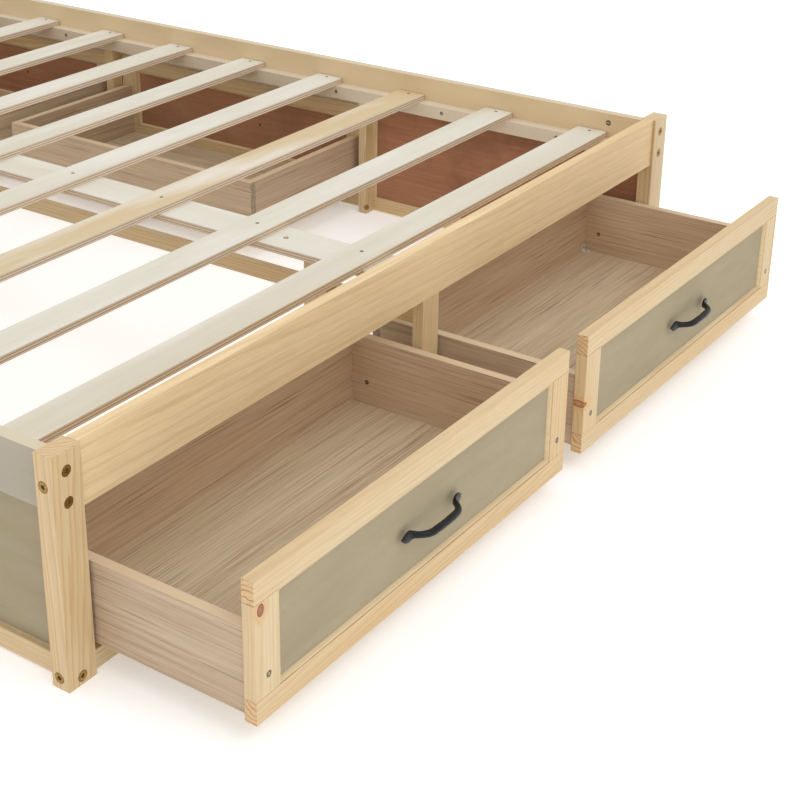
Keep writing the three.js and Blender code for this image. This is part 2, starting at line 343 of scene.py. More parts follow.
def pine(name, axis, seed=0.0, centre=(0, 0, 0), knots=(), ring=RING_SPACING, grain=0.8, lean=0.035, ends=1.0,
         early=PINE_EARLY):
    """Knotty pine with its grain along axis. The growth rings are cylinders round a pith line that runs past
    the board at a slight lean, so that they show as streaks on the faces and arcs on the ends. Each knot is
    (x, y, z, radius, squeeze, fill) on the board's surface, where a squeeze below 1 draws it out along the
    grain and fill is how strongly its core is coloured. ends is how strongly the sawn ends differ."""
    chance = random.Random(f"{name}{seed}")
    graph = Graph(name, roughness=0.5, Specular_IOR_Level=0.35)
    place = graph.place()
    move = [-value for value in centre]
    across = [index for index in range(3) if index != AXES[axis]]
    move[across[0]] += chance.choice((-1, 1)) * chance.uniform(*PITH_ACROSS)
    move[across[1]] += chance.choice((-1, 1)) * chance.uniform(*PITH_DEEP)
    turn = [chance.uniform(-lean, lean) for _ in range(3)]
    pith = graph.mapped(place, move=move, turn=turn)
    drawn = along_grain(graph, axis, 0.12)

    parts = graph.split(pith)
    squares = [graph.math("POWER", parts[index], 2.0) for index in across]
    radius = graph.math("SQRT", graph.plus(*squares))
    wobble = graph.noise(drawn, 9, 3, 0.55, move=(seed, seed * 0.7, seed * 1.3))
    ripple = graph.noise(drawn, 45, 2, 0.5, move=(seed, 4, seed))
    uneven = graph.noise(graph.mapped(pith, move=(seed, seed, seed), scale=axis_scale(axis, 0.0)), 38, 2, 0.6)
    for noise, amount in ((wobble, RING_WOBBLE), (ripple, RING_RIPPLE), (uneven, RING_UNEVEN)):
        radius = graph.plus(radius, graph.times(noise, amount))
    radius, knot_rings, knot_core, knot_glow = add_knots(graph, place, axis, radius, knots)

    phase = graph.math("FRACT", graph.math("DIVIDE", radius, ring))
    late = graph.ramp(phase, RING_TONES, "EASE")
    patches = graph.noise(drawn, 7, 2, move=(3 + seed, 1, 2))
    strength = graph.ramp(patches, [(0.32, 0.12), (0.7, 0.85)])
    late = graph.times(graph.times(late, strength), grain)
    colour = graph.mix(late, early, PINE_LATE)
    cloud = graph.ramp(graph.noise(drawn, 9, 3, move=(seed, 5, 9)), [(0.4, 0.0), (0.7, 1.0)])
    colour = graph.mix(cloud, colour, graph.mix(0.62, colour, PINE_TINT))
    fibre = graph.noise(along_grain(graph, axis, 0.02), 900, 2, 0.6)
    streak = graph.noise(along_grain(graph, axis, 0.03), 190, 3, 0.6, move=(seed, 0, seed))
    colour = graph.lay(PINE_MIDDLE, colour, streak, 0.42, 0.78, 0.45)
    colour = graph.lay(PINE_LATE, colour, fibre, 0.45, 0.8, 0.3)
    if ends:
        lines = graph.times(graph.ramp(phase, SAWN_RING_TONES), 0.8)
        sawn = graph.mix(lines, PINE_END, PINE_END_RING)
        sawn = graph.lay(PINE_LATE, sawn, graph.noise(place, 260, 3, 0.6), 0.4, 0.75, 0.4)
        end = graph.looks_along(axis)
        colour = graph.mix(graph.times(end, ends), colour, sawn)
    if knots:
        colour = graph.mix(knot_glow, colour, KNOT_HALO)
        colour = graph.mix(knot_core, colour, KNOT_CORE)
        colour = graph.mix(knot_rings, colour, KNOT_DARK)
    rough = graph.ramp(late, [(0.0, 0.52), (1.0, 0.42)])
    height = graph.plus(graph.times(late, 0.5), graph.times(fibre, 0.5))
    return graph.finish(colour, rough, height, 0.22, 0.0003)


# ---- Plywood, painted panels, drawer boards ----

SLAT_FACE = rgb(226, 222, 211)
SLAT_WARM = rgb(207, 197, 174)
SLAT_BLEACHED = rgb(233, 230, 222)
SLAT_YELLOW = rgb(216, 198, 164)
SLAT_YELLOW_WARM = rgb(206, 182, 142)
PLY_GLUE = rgb(150, 112, 76)
PLY_CORE = rgb(206, 176, 138)
PLIES = [(0.0, PLY_CORE), (0.22, SLAT_FACE), (0.30, PLY_GLUE), (0.36, PLY_CORE), (0.60, SLAT_FACE),
         (0.67, PLY_GLUE), (0.73, PLY_CORE), (1.0, SLAT_FACE)]  # from the lower face to the upper one
PLY_UNEVEN = 1.6 * MM
PLY_EDGE = 0.6  # the plies show where a face's normal stays below this on Z
RAIL_FACE = rgb(179, 171, 154)
RAIL_WARM = rgb(167, 157, 137)
RAIL_INNER = rgb(226, 205, 168)
RAIL_INNER_WARM = rgb(212, 184, 142)
RAIL_TOP = rgb(212, 203, 181)
LEDGER_FACE = rgb(224, 206, 184)
BOTTOM_FACE = rgb(210, 191, 158)
# Painted light: a lighter laminate face and lighter grain lines for the foot drawers' right sides and backs,
# brightening these inner faces where the top rail shades them
PAINTED_LIGHT_INNER_FACE = rgb(214, 188, 157)
PAINTED_LIGHT_INNER_DARK = rgb(182, 152, 120)


def veneer(name, axis, face, warm, seed, plies=None, contrast=0.5, inner=None, bleach=0.7):
    """Sanded plywood with a fine, faint grain. plies is the lowest and highest place of its layers, which
    show on its edges with brown lines of glue. inner is the way along x that a warmer veneer looks. Such a
    board has a pale top edge too. bleach is the strength of the whitish patches."""
    graph = Graph(name, roughness=0.72, Specular_IOR_Level=0.2)
    drawn = graph.mapped(along_grain(graph, axis), move=(seed, seed * 2, seed * 3))
    broad = graph.ramp(graph.noise(drawn, 14, 3, 0.55), [(0.3, 0.0), (0.72, 1.0)])
    fine = graph.noise(drawn, 420, 3, 0.65)
    warmth = graph.times(broad, contrast)
    colour = graph.mix(warmth, face, warm)
    colour = graph.lay(graph.mix(0.35, warm, PLY_GLUE), colour, fine, 0.5, 0.85, 0.35)
    cloud = graph.noise(graph.place(), 4.5, 3, move=(seed, 0, 1))
    colour = graph.lay(warm, colour, cloud, 0.35, 0.7, 0.4)
    pale = graph.noise(along_grain(graph, axis, 0.2), 11, 3, 0.55, move=(0, seed, 3))
    colour = graph.lay(SLAT_BLEACHED, colour, pale, 0.52, 0.72, bleach)
    facing = graph.split(graph.facing())
    if plies:
        low, high = plies
        level = graph.split(graph.place())[AXES["z"]]
        uneven = graph.times(graph.math("SUBTRACT", graph.noise(drawn, 30, 2), 0.5), PLY_UNEVEN)
        level = graph.plus(level, uneven)
        layers = graph.ramp(graph.math("DIVIDE", graph.math("SUBTRACT", level, low), high - low), PLIES)
        edge = graph.below(graph.math("ABSOLUTE", facing[AXES["z"]]), PLY_EDGE)
        colour = graph.mix(edge, colour, layers)
    if inner:
        inside = graph.above(graph.times(facing[AXES["x"]], inner), FLAT)
        colour = graph.mix(inside, colour, graph.mix(warmth, RAIL_INNER, RAIL_INNER_WARM))
        top = graph.above(facing[AXES["z"]], FLAT)
        top_colour = graph.mix(graph.times(broad, 0.4), RAIL_TOP, RAIL_INNER_WARM)
        colour = graph.mix(top, colour, top_colour)
    height = graph.plus(graph.times(fine, 0.6), broad)
    return graph.finish(colour, None, height, 0.12, 0.0003)


PANEL_FACE = rgb(169, 157, 131)
PANEL_SHADE = rgb(151, 138, 110)
PANEL_SPECK = rgb(146, 136, 104)
PANEL_BACK = rgb(170, 121, 91)
PANEL_BACK_DARK = rgb(142, 98, 71)
PANEL_BACK_STAIN = rgb(120, 81, 59)
PANEL_BACK_PALE = rgb(184, 140, 110)


def panel(name, grain, normal, middle, sign, seed):
    """Thin plywood, washed grey-green on its outer face and bare red-brown on the other. middle is the place
    of its mid-plane along the normal axis, and sign is the way that its outer face looks."""
    graph = Graph(name, roughness=0.78, Specular_IOR_Level=0.2)
    drawn = graph.mapped(along_grain(graph, grain, 0.22), move=(seed, seed, 0))
    wash = graph.ramp(graph.noise(drawn, 26, 5, 0.62), [(0.34, 0.0), (0.68, 1.0)])
    speck = graph.noise(along_grain(graph, grain, 0.25), 330, 2, 0.5)
    face = graph.mix(graph.times(wash, 0.5), PANEL_FACE, PANEL_SHADE)
    face = graph.lay(PANEL_SPECK, face, speck, 0.62, 0.8, 0.35)
    grainy = graph.noise(along_grain(graph, grain, 0.06), 130, 4, 0.65, move=(0, seed, 0))
    back = graph.lay(PANEL_BACK_DARK, PANEL_BACK, grainy, 0.35, 0.75, 0.8)
    stain = graph.noise(graph.place(), 7, 4, 0.6, move=(seed, 0, seed))
    back = graph.lay(PANEL_BACK_STAIN, back, stain, 0.52, 0.74, 0.7)
    back = graph.lay(PANEL_BACK_PALE, back, graph.noise(drawn, 6, 3), 0.4, 0.8, 0.6)
    beyond = graph.math("SUBTRACT", graph.split(graph.place())[AXES[normal]], middle)
    outer = graph.above(graph.times(beyond, sign), 0.0)
    colour = graph.mix(outer, back, face)
    return graph.finish(colour, None, graph.plus(grainy, speck), 0.1, 0.0003)


BOARD_FACE = rgb(197, 174, 147)
BOARD_DARK = rgb(160, 134, 106)
BOARD_PALE = rgb(212, 193, 167)
BOARD_BAND = rgb(214, 190, 156)
BOARD_PORE = rgb(122, 97, 74)
CHIP_DARK = rgb(128, 110, 90)
CHIP_PALE = rgb(186, 168, 142)


def laminate(name, grain, seed, raw=None, face=BOARD_FACE, dark=BOARD_DARK, banded=True):
    """Chipboard in an oak-grain laminate: straight fine lines along the grain, a pale band on the top edge
    where it is banded, and bare speckled chips on the ends that look along the raw axis."""
    graph = Graph(name, roughness=0.6, Specular_IOR_Level=0.3)
    drawn = graph.mapped(along_grain(graph, grain, 0.014), move=(seed, seed * 2, seed * 3))
    lines = graph.noise(drawn, 380, 4, 0.7)
    broad = graph.noise(drawn, 55, 3, 0.55)
    colour = graph.lay(dark, face, lines, 0.36, 0.7, 0.9)
    colour = graph.lay(BOARD_PALE, colour, broad, 0.35, 0.7, 0.45)
    pores = graph.noise(along_grain(graph, grain, 0.012), 520, 2, 0.5, move=(seed, 0, 2))
    colour = graph.lay(BOARD_PORE, colour, pores, 0.58, 0.7, 0.6)
    if banded:
        top = graph.above(graph.split(graph.facing())[AXES["z"]], FLAT)
        pale = graph.lay(BOARD_FACE, BOARD_BAND, lines, 0.35, 0.8, 0.5)
        colour = graph.mix(top, colour, pale)
    if raw:
        chips = graph.node("ShaderNodeTexVoronoi", {"Vector": graph.place(), "Scale": 480.0}).outputs["Color"]
        bare = graph.mix(graph.split(chips)[0], CHIP_DARK, CHIP_PALE)
        colour = graph.mix(graph.looks_along(raw), colour, bare)
    return graph.finish(colour, None, lines, 0.1, 0.0002)


# ---- Metal and plastic ----

IRON_DARK, IRON_PALE = rgb(12, 12, 14), rgb(28, 27, 28)
BRASS_PALE, BRASS_DARK = rgb(190, 152, 90), rgb(104, 78, 44)
ZINC_PALE, ZINC_DARK = rgb(126, 122, 108), rgb(66, 63, 54)
STEEL_PALE, STEEL_DARK = rgb(104, 92, 78), rgb(58, 50, 42)
RUBBER_DARK, RUBBER_PALE = rgb(26, 26, 27), rgb(44, 44, 45)
PLASTIC_PALE, PLASTIC_DARK = rgb(222, 218, 208), rgb(204, 199, 188)


def cast_black():
    graph = Graph("black_iron", roughness=0.3, Specular_IOR_Level=0.28)
    grain = graph.noise(graph.place(), 900, 3, 0.6)
    patch = graph.noise(graph.place(), 60, 3, 0.6)
    rough = graph.ramp(patch, [(0.3, 0.24), (0.7, 0.4)])
    return graph.finish(graph.mix(patch, IRON_DARK, IRON_PALE), rough, grain, 0.25, 0.0002)


def worn_metal(name, pale, dark, roughness):
    graph = Graph(name, roughness=roughness, Metallic=0.85)
    patch = graph.noise(graph.place(), 700, 3, 0.6)
    colour = graph.lay(dark, pale, patch, 0.35, 0.7, 1.0)
    return graph.finish(colour, None, patch, 0.15, 0.0001)


def plain_plastic(name, first, second, roughness):
    graph = Graph(name, roughness=roughness)
    patch = graph.noise(graph.place(), 240, 3, 0.5)
    return graph.finish(graph.mix(patch, first, second), None, patch, 0.1, 0.0001)


# ---- Board pieces ----

BEVEL_ANGLE = math.radians(40)  # edges that turn by more than this are rounded


def add_bevel(piece, width=BOARD_EDGE, segments=2):
    bevel = piece.modifiers.new("edges", "BEVEL")
    bevel.width = width
    bevel.segments = segments
    bevel.limit_method = "ANGLE"
    bevel.angle_limit = BEVEL_ANGLE
    bevel.harden_normals = True
    for polygon in piece.data.polygons:
        polygon.use_smooth = True


def built_object(name, make):
    """An object whose mesh the make function builds."""
    builder = bmesh.new()
    make(builder)
    builder.normal_update()
    mesh = bpy.data.meshes.new(name)
    builder.to_mesh(mesh)
    builder.free()
    return add_object(name, mesh)


def new_piece(name, make, material, body):
    piece = built_object(name, make)
    piece.data.materials.append(material)
    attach(piece, body)
    return piece


def cuboid(builder, corner, opposite):
    """A box between any two opposite corners."""
    low = Vector([min(pair) for pair in zip(corner, opposite)])
    high = Vector([max(pair) for pair in zip(corner, opposite)])
    shape = Matrix.Translation((low + high) / 2) @ Matrix.Diagonal((*(high - low), 1))
    bmesh.ops.create_cube(builder, size=1.0, matrix=shape)


def board_piece(name, low, high, material, body, bevel=BOARD_EDGE):
    piece = new_piece(name, partial(cuboid, corner=low, opposite=high), material, body)
    add_bevel(piece, bevel)
    return piece


def middle_of(node):
    low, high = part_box(node)
    return (low + high) / 2


def label_of(side_drawer):
    return side_drawer.split("_")[2]


def side_of(side_drawer):
    return SIDES[label_of(side_drawer)]


# ---- The frame's own boards ----

def dress(node, material, bevel=BOARD_EDGE):
    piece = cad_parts[node]
    piece.data.materials.clear()
    piece.data.materials.append(material)
    add_bevel(piece, bevel)


def dress_pine(node, axis, seed, **extra):
    dress(node, pine(node, axis, seed, tuple(middle_of(node)), **extra))


def dress_frame():
    for index, (end, label) in enumerate((end, label) for end in PLACES for label in SIDES):
        drilled_post(end, label, 1.3 + index)
    dress_pine("foot_top_rail", "x", 11.2, lean=0.05, ring=WIDE_RINGS, grain=0.4, early=PINE_BRIGHT)
    dress_pine("foot_bottom_rail", "x", 12.7)
    dress_pine("foot_mid_post", "z", 13.1)
    dress_pine("head_panel", "x", 14.9, ring=8 * MM)
    for label, side in SIDES.items():
        dress_pine(f"side_bottom_rail_{label}", "y", 20.5 + side)
        ledger = veneer(f"ledger_{label}", "y", LEDGER_FACE, SLAT_WARM, 5.0 + side, contrast=0.8)
        dress(f"side_ledger_{label}", ledger)
        rail = veneer(f"pale_rail_{label}", "y", RAIL_FACE, RAIL_WARM, 8.0 + side, inner=-side, bleach=0.12)
        dress(f"side_top_rail_{label}", rail)
        for place in PLACES:
            dress_pine(f"mid_post_{label}_{place}", "z", 30.1 + side * 2 + PLACES.index(place), ring=4 * MM)
        node = f"bay_panel_{label}"
        dress(node, panel(node, "y", "x", middle_of(node).x, side, 3.0 + side), BAY_PANEL_EDGE)
    low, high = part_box("centre_board")
    dress("centre_board", veneer("centre_board", "y", SLAT_FACE, SLAT_WARM, 2.2, (low.z, high.z)))
    dress_pine("centre_stretcher", "y", 41.0)
    dress_pine("centre_leg_foot", "z", 46.0)
    dress_pine("centre_leg_mid", "z", 45.0)


POST_BOLTS = {"end": (12 * MM, 256 * MM, 298 * MM), "side": (16 * MM, 282 * MM)}  # heights of the bolts
POST_SIDE_BOLT_IN = 16 * MM  # from the post's end face
POCKET = mm(radius=7.6, depth=3)


def post_bolts(end, label):
    """The places of a post's bolts on its faces, each with the way that the face looks."""
    low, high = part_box(f"post_{end}_{label}")
    side, along = SIDES[label], (-1 if end == "foot" else 1)
    face_y = low.y if end == "foot" else high.y
    face_x = low.x if side < 0 else high.x
    ends = [((low.x + high.x) / 2, face_y, z, (0, along, 0)) for z in POST_BOLTS["end"]]
    sides = [(face_x, face_y - along * POST_SIDE_BOLT_IN, z, (side, 0, 0)) for z in POST_BOLTS["side"]]
    return [((x, y, z), normal) for x, y, z, normal in ends + sides]


def upright_at(place, normal):
    """The move that takes a part which stands on the origin along +Z to the place, standing along normal."""
    return Matrix.Translation(place) @ Vector(normal).to_track_quat("Z", "Y").to_matrix().to_4x4()


def axis_cylinder(builder, middle, axis, radius, length, segments=32):
    bmesh.ops.create_cone(builder, cap_ends=True, segments=segments, radius1=radius, radius2=radius,
                          depth=length, matrix=upright_at(middle, axis))


def drill(piece, holes, radius, depth):
    """Sinks a round flat-bottomed pocket into the piece at each place."""
    def make(builder):
        for place, normal in holes:
            axis_cylinder(builder, place, normal, radius, 2 * depth)

    cutter = built_object("cutter", make)
    cut = piece.modifiers.new("pockets", "BOOLEAN")
    cut.operation = "DIFFERENCE"
    cut.solver = "EXACT"
    cut.object = cutter
    shaped = bpy.data.meshes.new_from_object(piece.evaluated_get(bpy.context.evaluated_depsgraph_get()))
    piece.modifiers.remove(cut)
    piece.data = shaped
    bpy.data.objects.remove(cutter)


def drilled_post(end, label, seed):
    """A corner post with a round pocket for each bolt head, in place of the plain post."""
    node = f"post_{end}_{label}"
    low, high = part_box(node)
    material = pine(node, "z", seed, tuple(middle_of(node)), ring=6 * MM, ends=0.25)
    make = partial(cuboid, corner=low, opposite=high)
    post = new_piece(f"{node}_drilled", make, material, FRAME_BODY)
    drill(post, post_bolts(end, label), **POCKET)
    add_bevel(post)
    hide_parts(node)


# ---- Bolts, screws and nuts ----

def hexagon_edge(angle, apothem):
    return apothem / math.cos(angle % math.radians(60) - math.radians(30))


def cross_edge(angle, arm, half):
    across, along = sorted((abs(math.cos(angle)), abs(math.sin(angle))))
    return arm / along if across * arm <= half * along else half / across


def slot_edge(angle, arm, half):
    return min(arm / max(abs(math.cos(angle)), 1e-6), half / max(abs(math.sin(angle)), 1e-6))


ROUND = [math.radians(15 * step) for step in range(24)]
CROSS_HALF, CROSS_ARM = 0.14, 0.62  # shares of the head's radius
CROSS_CORNER = math.degrees(math.atan(CROSS_HALF / CROSS_ARM))
CROSS = [math.radians(90 * quarter + step) for quarter in range(4)
         for step in (0, CROSS_CORNER, 30, 45, 60, 90 - CROSS_CORNER)]
HEXAGON_RECESS = [(angle, hexagon_edge(angle, 0.42)) for angle in ROUND]
CROSS_RECESS = [(angle, cross_edge(angle, CROSS_ARM, CROSS_HALF)) for angle in CROSS]
SLOT_RECESS = [(angle, slot_edge(angle, 0.8, 0.16)) for angle in ROUND]
HEAD_SHOULDER, HEAD_TOP, RECESS_FLOOR = 0.7, 0.86, 0.85
BOLT = {"recess": HEXAGON_RECESS, **mm(depth=2.2, radius=6.9, rise=-0.3, sunk=2.9)}
SCREW = {"recess": CROSS_RECESS, **mm(depth=0.7, rise=0.25, sunk=0.5)}
BARREL_NUT = {"recess": SLOT_RECESS, **mm(depth=0.8, radius=5.5, rise=0.2, sunk=0.8)}


def skin(builder, rings):
    """Joins each ring of vertices to the next one with faces."""
    for first, second in zip(rings, rings[1:]):
        for index in range(len(first)):
            after = (index + 1) % len(first)
            builder.faces.new((first[index], first[after], second[after], second[index]))


def heads(builder, places, recess, depth, radius, rise, sunk):
    """Round heads that stand rise above their places and reach sunk below them. recess is the outline of
    the hole in their tops, as angles and shares of the radius. Each place comes with the head's direction."""
    rim = [(angle, 1.0) for angle, _ in recess]
    rings = [(rim, radius, -sunk), (rim, radius, rise - HEAD_SHOULDER * abs(rise)),
             (rim, radius * HEAD_TOP, rise), (recess, radius, rise),
             (recess, radius * RECESS_FLOOR, rise - depth)]
    for place, normal in places:
        turn = upright_at(place, normal)
        loops = [[builder.verts.new(turn @ Vector((reach * share * math.cos(angle),
                                                   reach * share * math.sin(angle), level)))
                  for angle, share in outline] for outline, reach, level in rings]
        skin(builder, loops)
        builder.faces.new(loops[0][::-1])
        builder.faces.new(loops[-1])


def smooth_by_angle(piece, degrees=35):
    for polygon in piece.data.polygons:
        polygon.use_smooth = True
    piece.data.set_sharp_from_angle(angle=math.radians(degrees))


def metal_piece(name, kind, places, material, body, **sizes):
    make = partial(heads, places=places, **{**kind, **sizes})
    smooth_by_angle(new_piece(name, make, material, body))


LEDGER_SCREW = mm(first=172, pitch=262, height=257, radius=3.6)
LEDGER_SCREWS = 8
SLAT_SCREW = mm(inset=12, radius=3.2)
RAIL_NUT = mm(along=75, height=298)
BATTEN_BOLT = mm(along=10, height=15, radius=5.5, rise=1.6)
CENTRE_SCREW = mm(past=45, radius=4.5)  # past the middle of the gap between the first two slats
UP = (0, 0, 1)
SLATS = sorted(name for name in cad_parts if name.startswith("slat_"))


def inner_face(node, side):
    """The place on x of the face that looks to the bed's middle, and the board's ends along y."""
    low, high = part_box(node)
    return (low.x if side > 0 else high.x), low.y, high.y


def fasten_frame(brass, zinc, steel):
    bolts = [bolt for end in PLACES for label in SIDES for bolt in post_bolts(end, label)]
    metal_piece("post_bolts", BOLT, bolts, brass, FRAME_BODY)
    deck = []
    for node in SLATS:
        low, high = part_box(node)
        y = (low.y + high.y) / 2
        deck += [((x, y, high.z), UP) for x in (low.x + SLAT_SCREW["inset"], 0, high.x - SLAT_SCREW["inset"])]
    metal_piece("slat_screws", SCREW, deck, steel, FRAME_BODY, radius=SLAT_SCREW["radius"])
    ledger, nuts, low_bolts = [], [], []
    for label, side in SIDES.items():
        inwards = (-side, 0, 0)
        inner, start, _ = inner_face(f"side_ledger_{label}", side)
        for step in range(LEDGER_SCREWS):
            y = start + LEDGER_SCREW["first"] + step * LEDGER_SCREW["pitch"]
            ledger.append(((inner, y, LEDGER_SCREW["height"]), inwards))
        inner, start, end = inner_face(f"side_top_rail_{label}", side)
        for y in (start + RAIL_NUT["along"], end - RAIL_NUT["along"]):
            nuts.append(((inner, y, RAIL_NUT["height"]), inwards))
        for place in PLACES:
            inner, start, _ = inner_face(f"mid_post_{label}_{place}", side)
            low_bolts.append(((inner, start + BATTEN_BOLT["along"], BATTEN_BOLT["height"]), inwards))
    metal_piece("ledger_screws", SCREW, ledger, steel, FRAME_BODY, radius=LEDGER_SCREW["radius"])
    metal_piece("rail_nuts", BARREL_NUT, nuts, zinc, FRAME_BODY)
    metal_piece("batten_bolts", BOLT, low_bolts, brass, FRAME_BODY, radius=BATTEN_BOLT["radius"],
                rise=BATTEN_BOLT["rise"])
    gap = (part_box(SLATS[0])[1].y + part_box(SLATS[1])[0].y) / 2
    place = (0, gap + CENTRE_SCREW["past"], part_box("centre_board")[1].z)
    metal_piece("centre_board_screw", SCREW, [(place, UP)], brass, FRAME_BODY,
                radius=CENTRE_SCREW["radius"])


YELLOW_SLAT = "slat_03"


def dress_slats():
    for index, node in enumerate(SLATS):
        low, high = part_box(node)
        face, warm = (SLAT_YELLOW, SLAT_YELLOW_WARM) if node == YELLOW_SLAT else (SLAT_FACE, SLAT_WARM)
        dress(node, veneer(node, "x", face, warm, 1.7 * index, (low.z, high.z), 0.85), SLAT_EDGE)


# ---- Drawers ----

# The bead's outline: how far it stands in from the frame's edge, and how deep it lies below the frame's face
BEAD = [(inset * MM, depth * MM) for inset, depth in (
    (0.0, 3.2), (0.5, 3.2), (0.8, 1.1), (1.8, 0.8), (3.0, 1.4), (4.6, 3.4), (5.8, 5.2), (6.0, 5.9),
    (0.0, 5.9))]


def bead_ring(builder, opening, face, inward, corner):
    """A rounded strip that runs round a panel's opening, mitred at the four corners."""
    w0, w1, z0, z1 = opening
    rings = []
    for inset, depth in BEAD:
        level = face + inward * depth
        places = [(w0 + inset, z0 + inset), (w1 - inset, z0 + inset), (w1 - inset, z1 - inset),
                  (w0 + inset, z1 - inset)]
        rings.append([builder.verts.new(corner(width, level, height)) for width, height in places])
    skin(builder, rings + rings[:1])
    bmesh.ops.recalc_face_normals(builder, faces=builder.faces)


def front_boards(name, node, normal, outward, knots_on=()):
    """A drawer front's four frame boards and the beads round its panel, in place of the node. The rails run
    the full width and the stiles stand between them. normal is the axis that the front faces along, outward
    its way. Returns the panel's opening: its ends along the width, then its lowest and highest place."""
    low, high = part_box(node)
    width_axis = "y" if normal == "x" else "x"
    w, n = AXES[width_axis], AXES[normal]

    def corner(width, depth, height):
        point = [0, 0, height]
        point[w], point[n] = width, depth
        return tuple(point)

    left, right = low[w], high[w]
    near, far = low[n], high[n]
    bottom, top = low.z, high.z
    opening = (left + FRONT_STILE, right - FRONT_STILE, bottom + FRONT_RAIL, top - FRONT_RAIL)
    inner_left, inner_right, inner_bottom, inner_top = opening
    spans = {
        "rail_top": (left, right, inner_top, top, width_axis),
        "rail_bottom": (left, right, bottom, inner_bottom, width_axis),
        "stile_left": (left, inner_left, inner_bottom + JOINT_GAP, inner_top - JOINT_GAP, "z"),
        "stile_right": (inner_right, right, inner_bottom + JOINT_GAP, inner_top - JOINT_GAP, "z"),
    }
    for index, (part, (w0, w1, z0, z1, grain)) in enumerate(spans.items()):
        a, b = corner(w0, near, z0), corner(w1, far, z1)
        centre = tuple((x + y) / 2 for x, y in zip(a, b))
        knots = [knot for board, knot in knots_on if board == part]
        seed = index * 1.9 + len(name) * 0.37
        material = pine(f"{name}_{part}", grain, seed, centre, knots, ring=6.5 * MM)
        piece = board_piece(f"{name}_{part}", a, b, material, name)
        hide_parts(node)
    bead_material = pine(f"{name}_beads", width_axis, len(name) * 0.61, tuple((low + high) / 2), ring=11 * MM,
                         grain=0.35, ends=0.0)
    for level, inward in ((far, -1), (near, 1)):
        face = "outer" if inward * outward < 0 else "inner"
        make = partial(bead_ring, opening=opening, face=level, inward=inward, corner=corner)
        smooth_by_angle(new_piece(f"{name}_bead_{face}", make, bead_material, name))
    return opening


STILE_KNOT = {"inset": 11.5 * MM, "height": 187 * MM, "radius": 6.4 * MM, "squeeze": 0.72, "fill": 0.8}
EDGE_KNOT = {"height": 117 * MM, "radius": 13 * MM, "squeeze": 2.1, "fill": 0.15}


def foot_front_knots(name):
    """The left drawer's knot is on its left stile's face, the right drawer's on the stile's outer edge."""
    low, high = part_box(f"{name}_frame")
    if name == FOOT_DRAWERS[0]:
        knot, place = STILE_KNOT, (low.x + STILE_KNOT["inset"], low.y)
    else:
        knot, place = EDGE_KNOT, (low.x, (low.y + high.y) / 2)
    return [("stile_left", (*place, knot["height"], knot["radius"], knot["squeeze"], knot["fill"]))]


def dress_foot_drawer(name, seed):
    front_boards(name, f"{name}_frame", "y", -1, foot_front_knots(name))
    middle = middle_of(f"{name}_panel")
    dress(f"{name}_panel", panel(f"{name}_panel", "x", "y", middle.y, -1, seed), PANEL_EDGE)
    dress(f"{name}_side_left", laminate(f"{name}_side_left", "y", seed + 9), LAMINATE_EDGE)
    # painted light: the right side and the back get the lighter inner colours, the left side keeps the plain
    # board colours
    painted_light = {"face": PAINTED_LIGHT_INNER_FACE, "dark": PAINTED_LIGHT_INNER_DARK}
    dress(f"{name}_side_right", laminate(f"{name}_side_right", "y", seed + 10, **painted_light), LAMINATE_EDGE)
    dress(f"{name}_back", laminate(f"{name}_back", "x", seed + 3, raw="x", **painted_light), LAMINATE_EDGE)
    bottom = laminate(f"{name}_bottom", "x", seed + 5, face=BOTTOM_FACE, banded=False)
    dress(f"{name}_bottom", bottom, BOTTOM_EDGE)


DRAWER_WALL = 15 * MM
DRAWER_FLOOR = 4 * MM


def dress_side_drawer(name, seed):
    side = side_of(name)
    y0, y1, z0, z1 = front_boards(name, f"{name}_front", "x", side)
    front_low, front_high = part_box(f"{name}_front")
    inner = front_low.x if side > 0 else front_high.x
    depths = sorted((inner + side * PANEL_RECESS, inner + side * 2 * PANEL_RECESS))
    panel_material = panel(f"{name}_panel", "y", "x", sum(depths) / 2, side, seed)
    board_piece(f"{name}_panel", (depths[0], y0, z0), (depths[1], y1, z1), panel_material, name,
                PANEL_EDGE)
    low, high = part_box(f"{name}_box")
    back, back_front = (low.x, low.x + DRAWER_WALL) if side > 0 else (high.x, high.x - DRAWER_WALL)
    front = high.x if side > 0 else low.x
    foot_wall, head_wall = low.y + DRAWER_WALL, high.y - DRAWER_WALL
    along = laminate(f"{name}_sides", "x", seed + 1)
    across = laminate(f"{name}_back", "y", seed + 2, raw="y")
    bottom = laminate(f"{name}_bottom", "y", seed + 3, face=BOTTOM_FACE, banded=False)
    boards = {
        "side_foot": ((back_front, low.y, low.z), (front, foot_wall, high.z), along),
        "side_head": ((back_front, head_wall, low.z), (front, high.y, high.z), along),
        "back": ((back, low.y, low.z), (back_front, high.y, high.z), across),
        "bottom": ((back_front, foot_wall, low.z), (front, head_wall, low.z + DRAWER_FLOOR), bottom),
    }
    for part, (a, b, material) in boards.items():
        piece = board_piece(f"{name}_{part}", a, b, material, name, LAMINATE_EDGE)
        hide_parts(f"{name}_box")


# ---- Handles, screws, castors and glides of a drawer ----

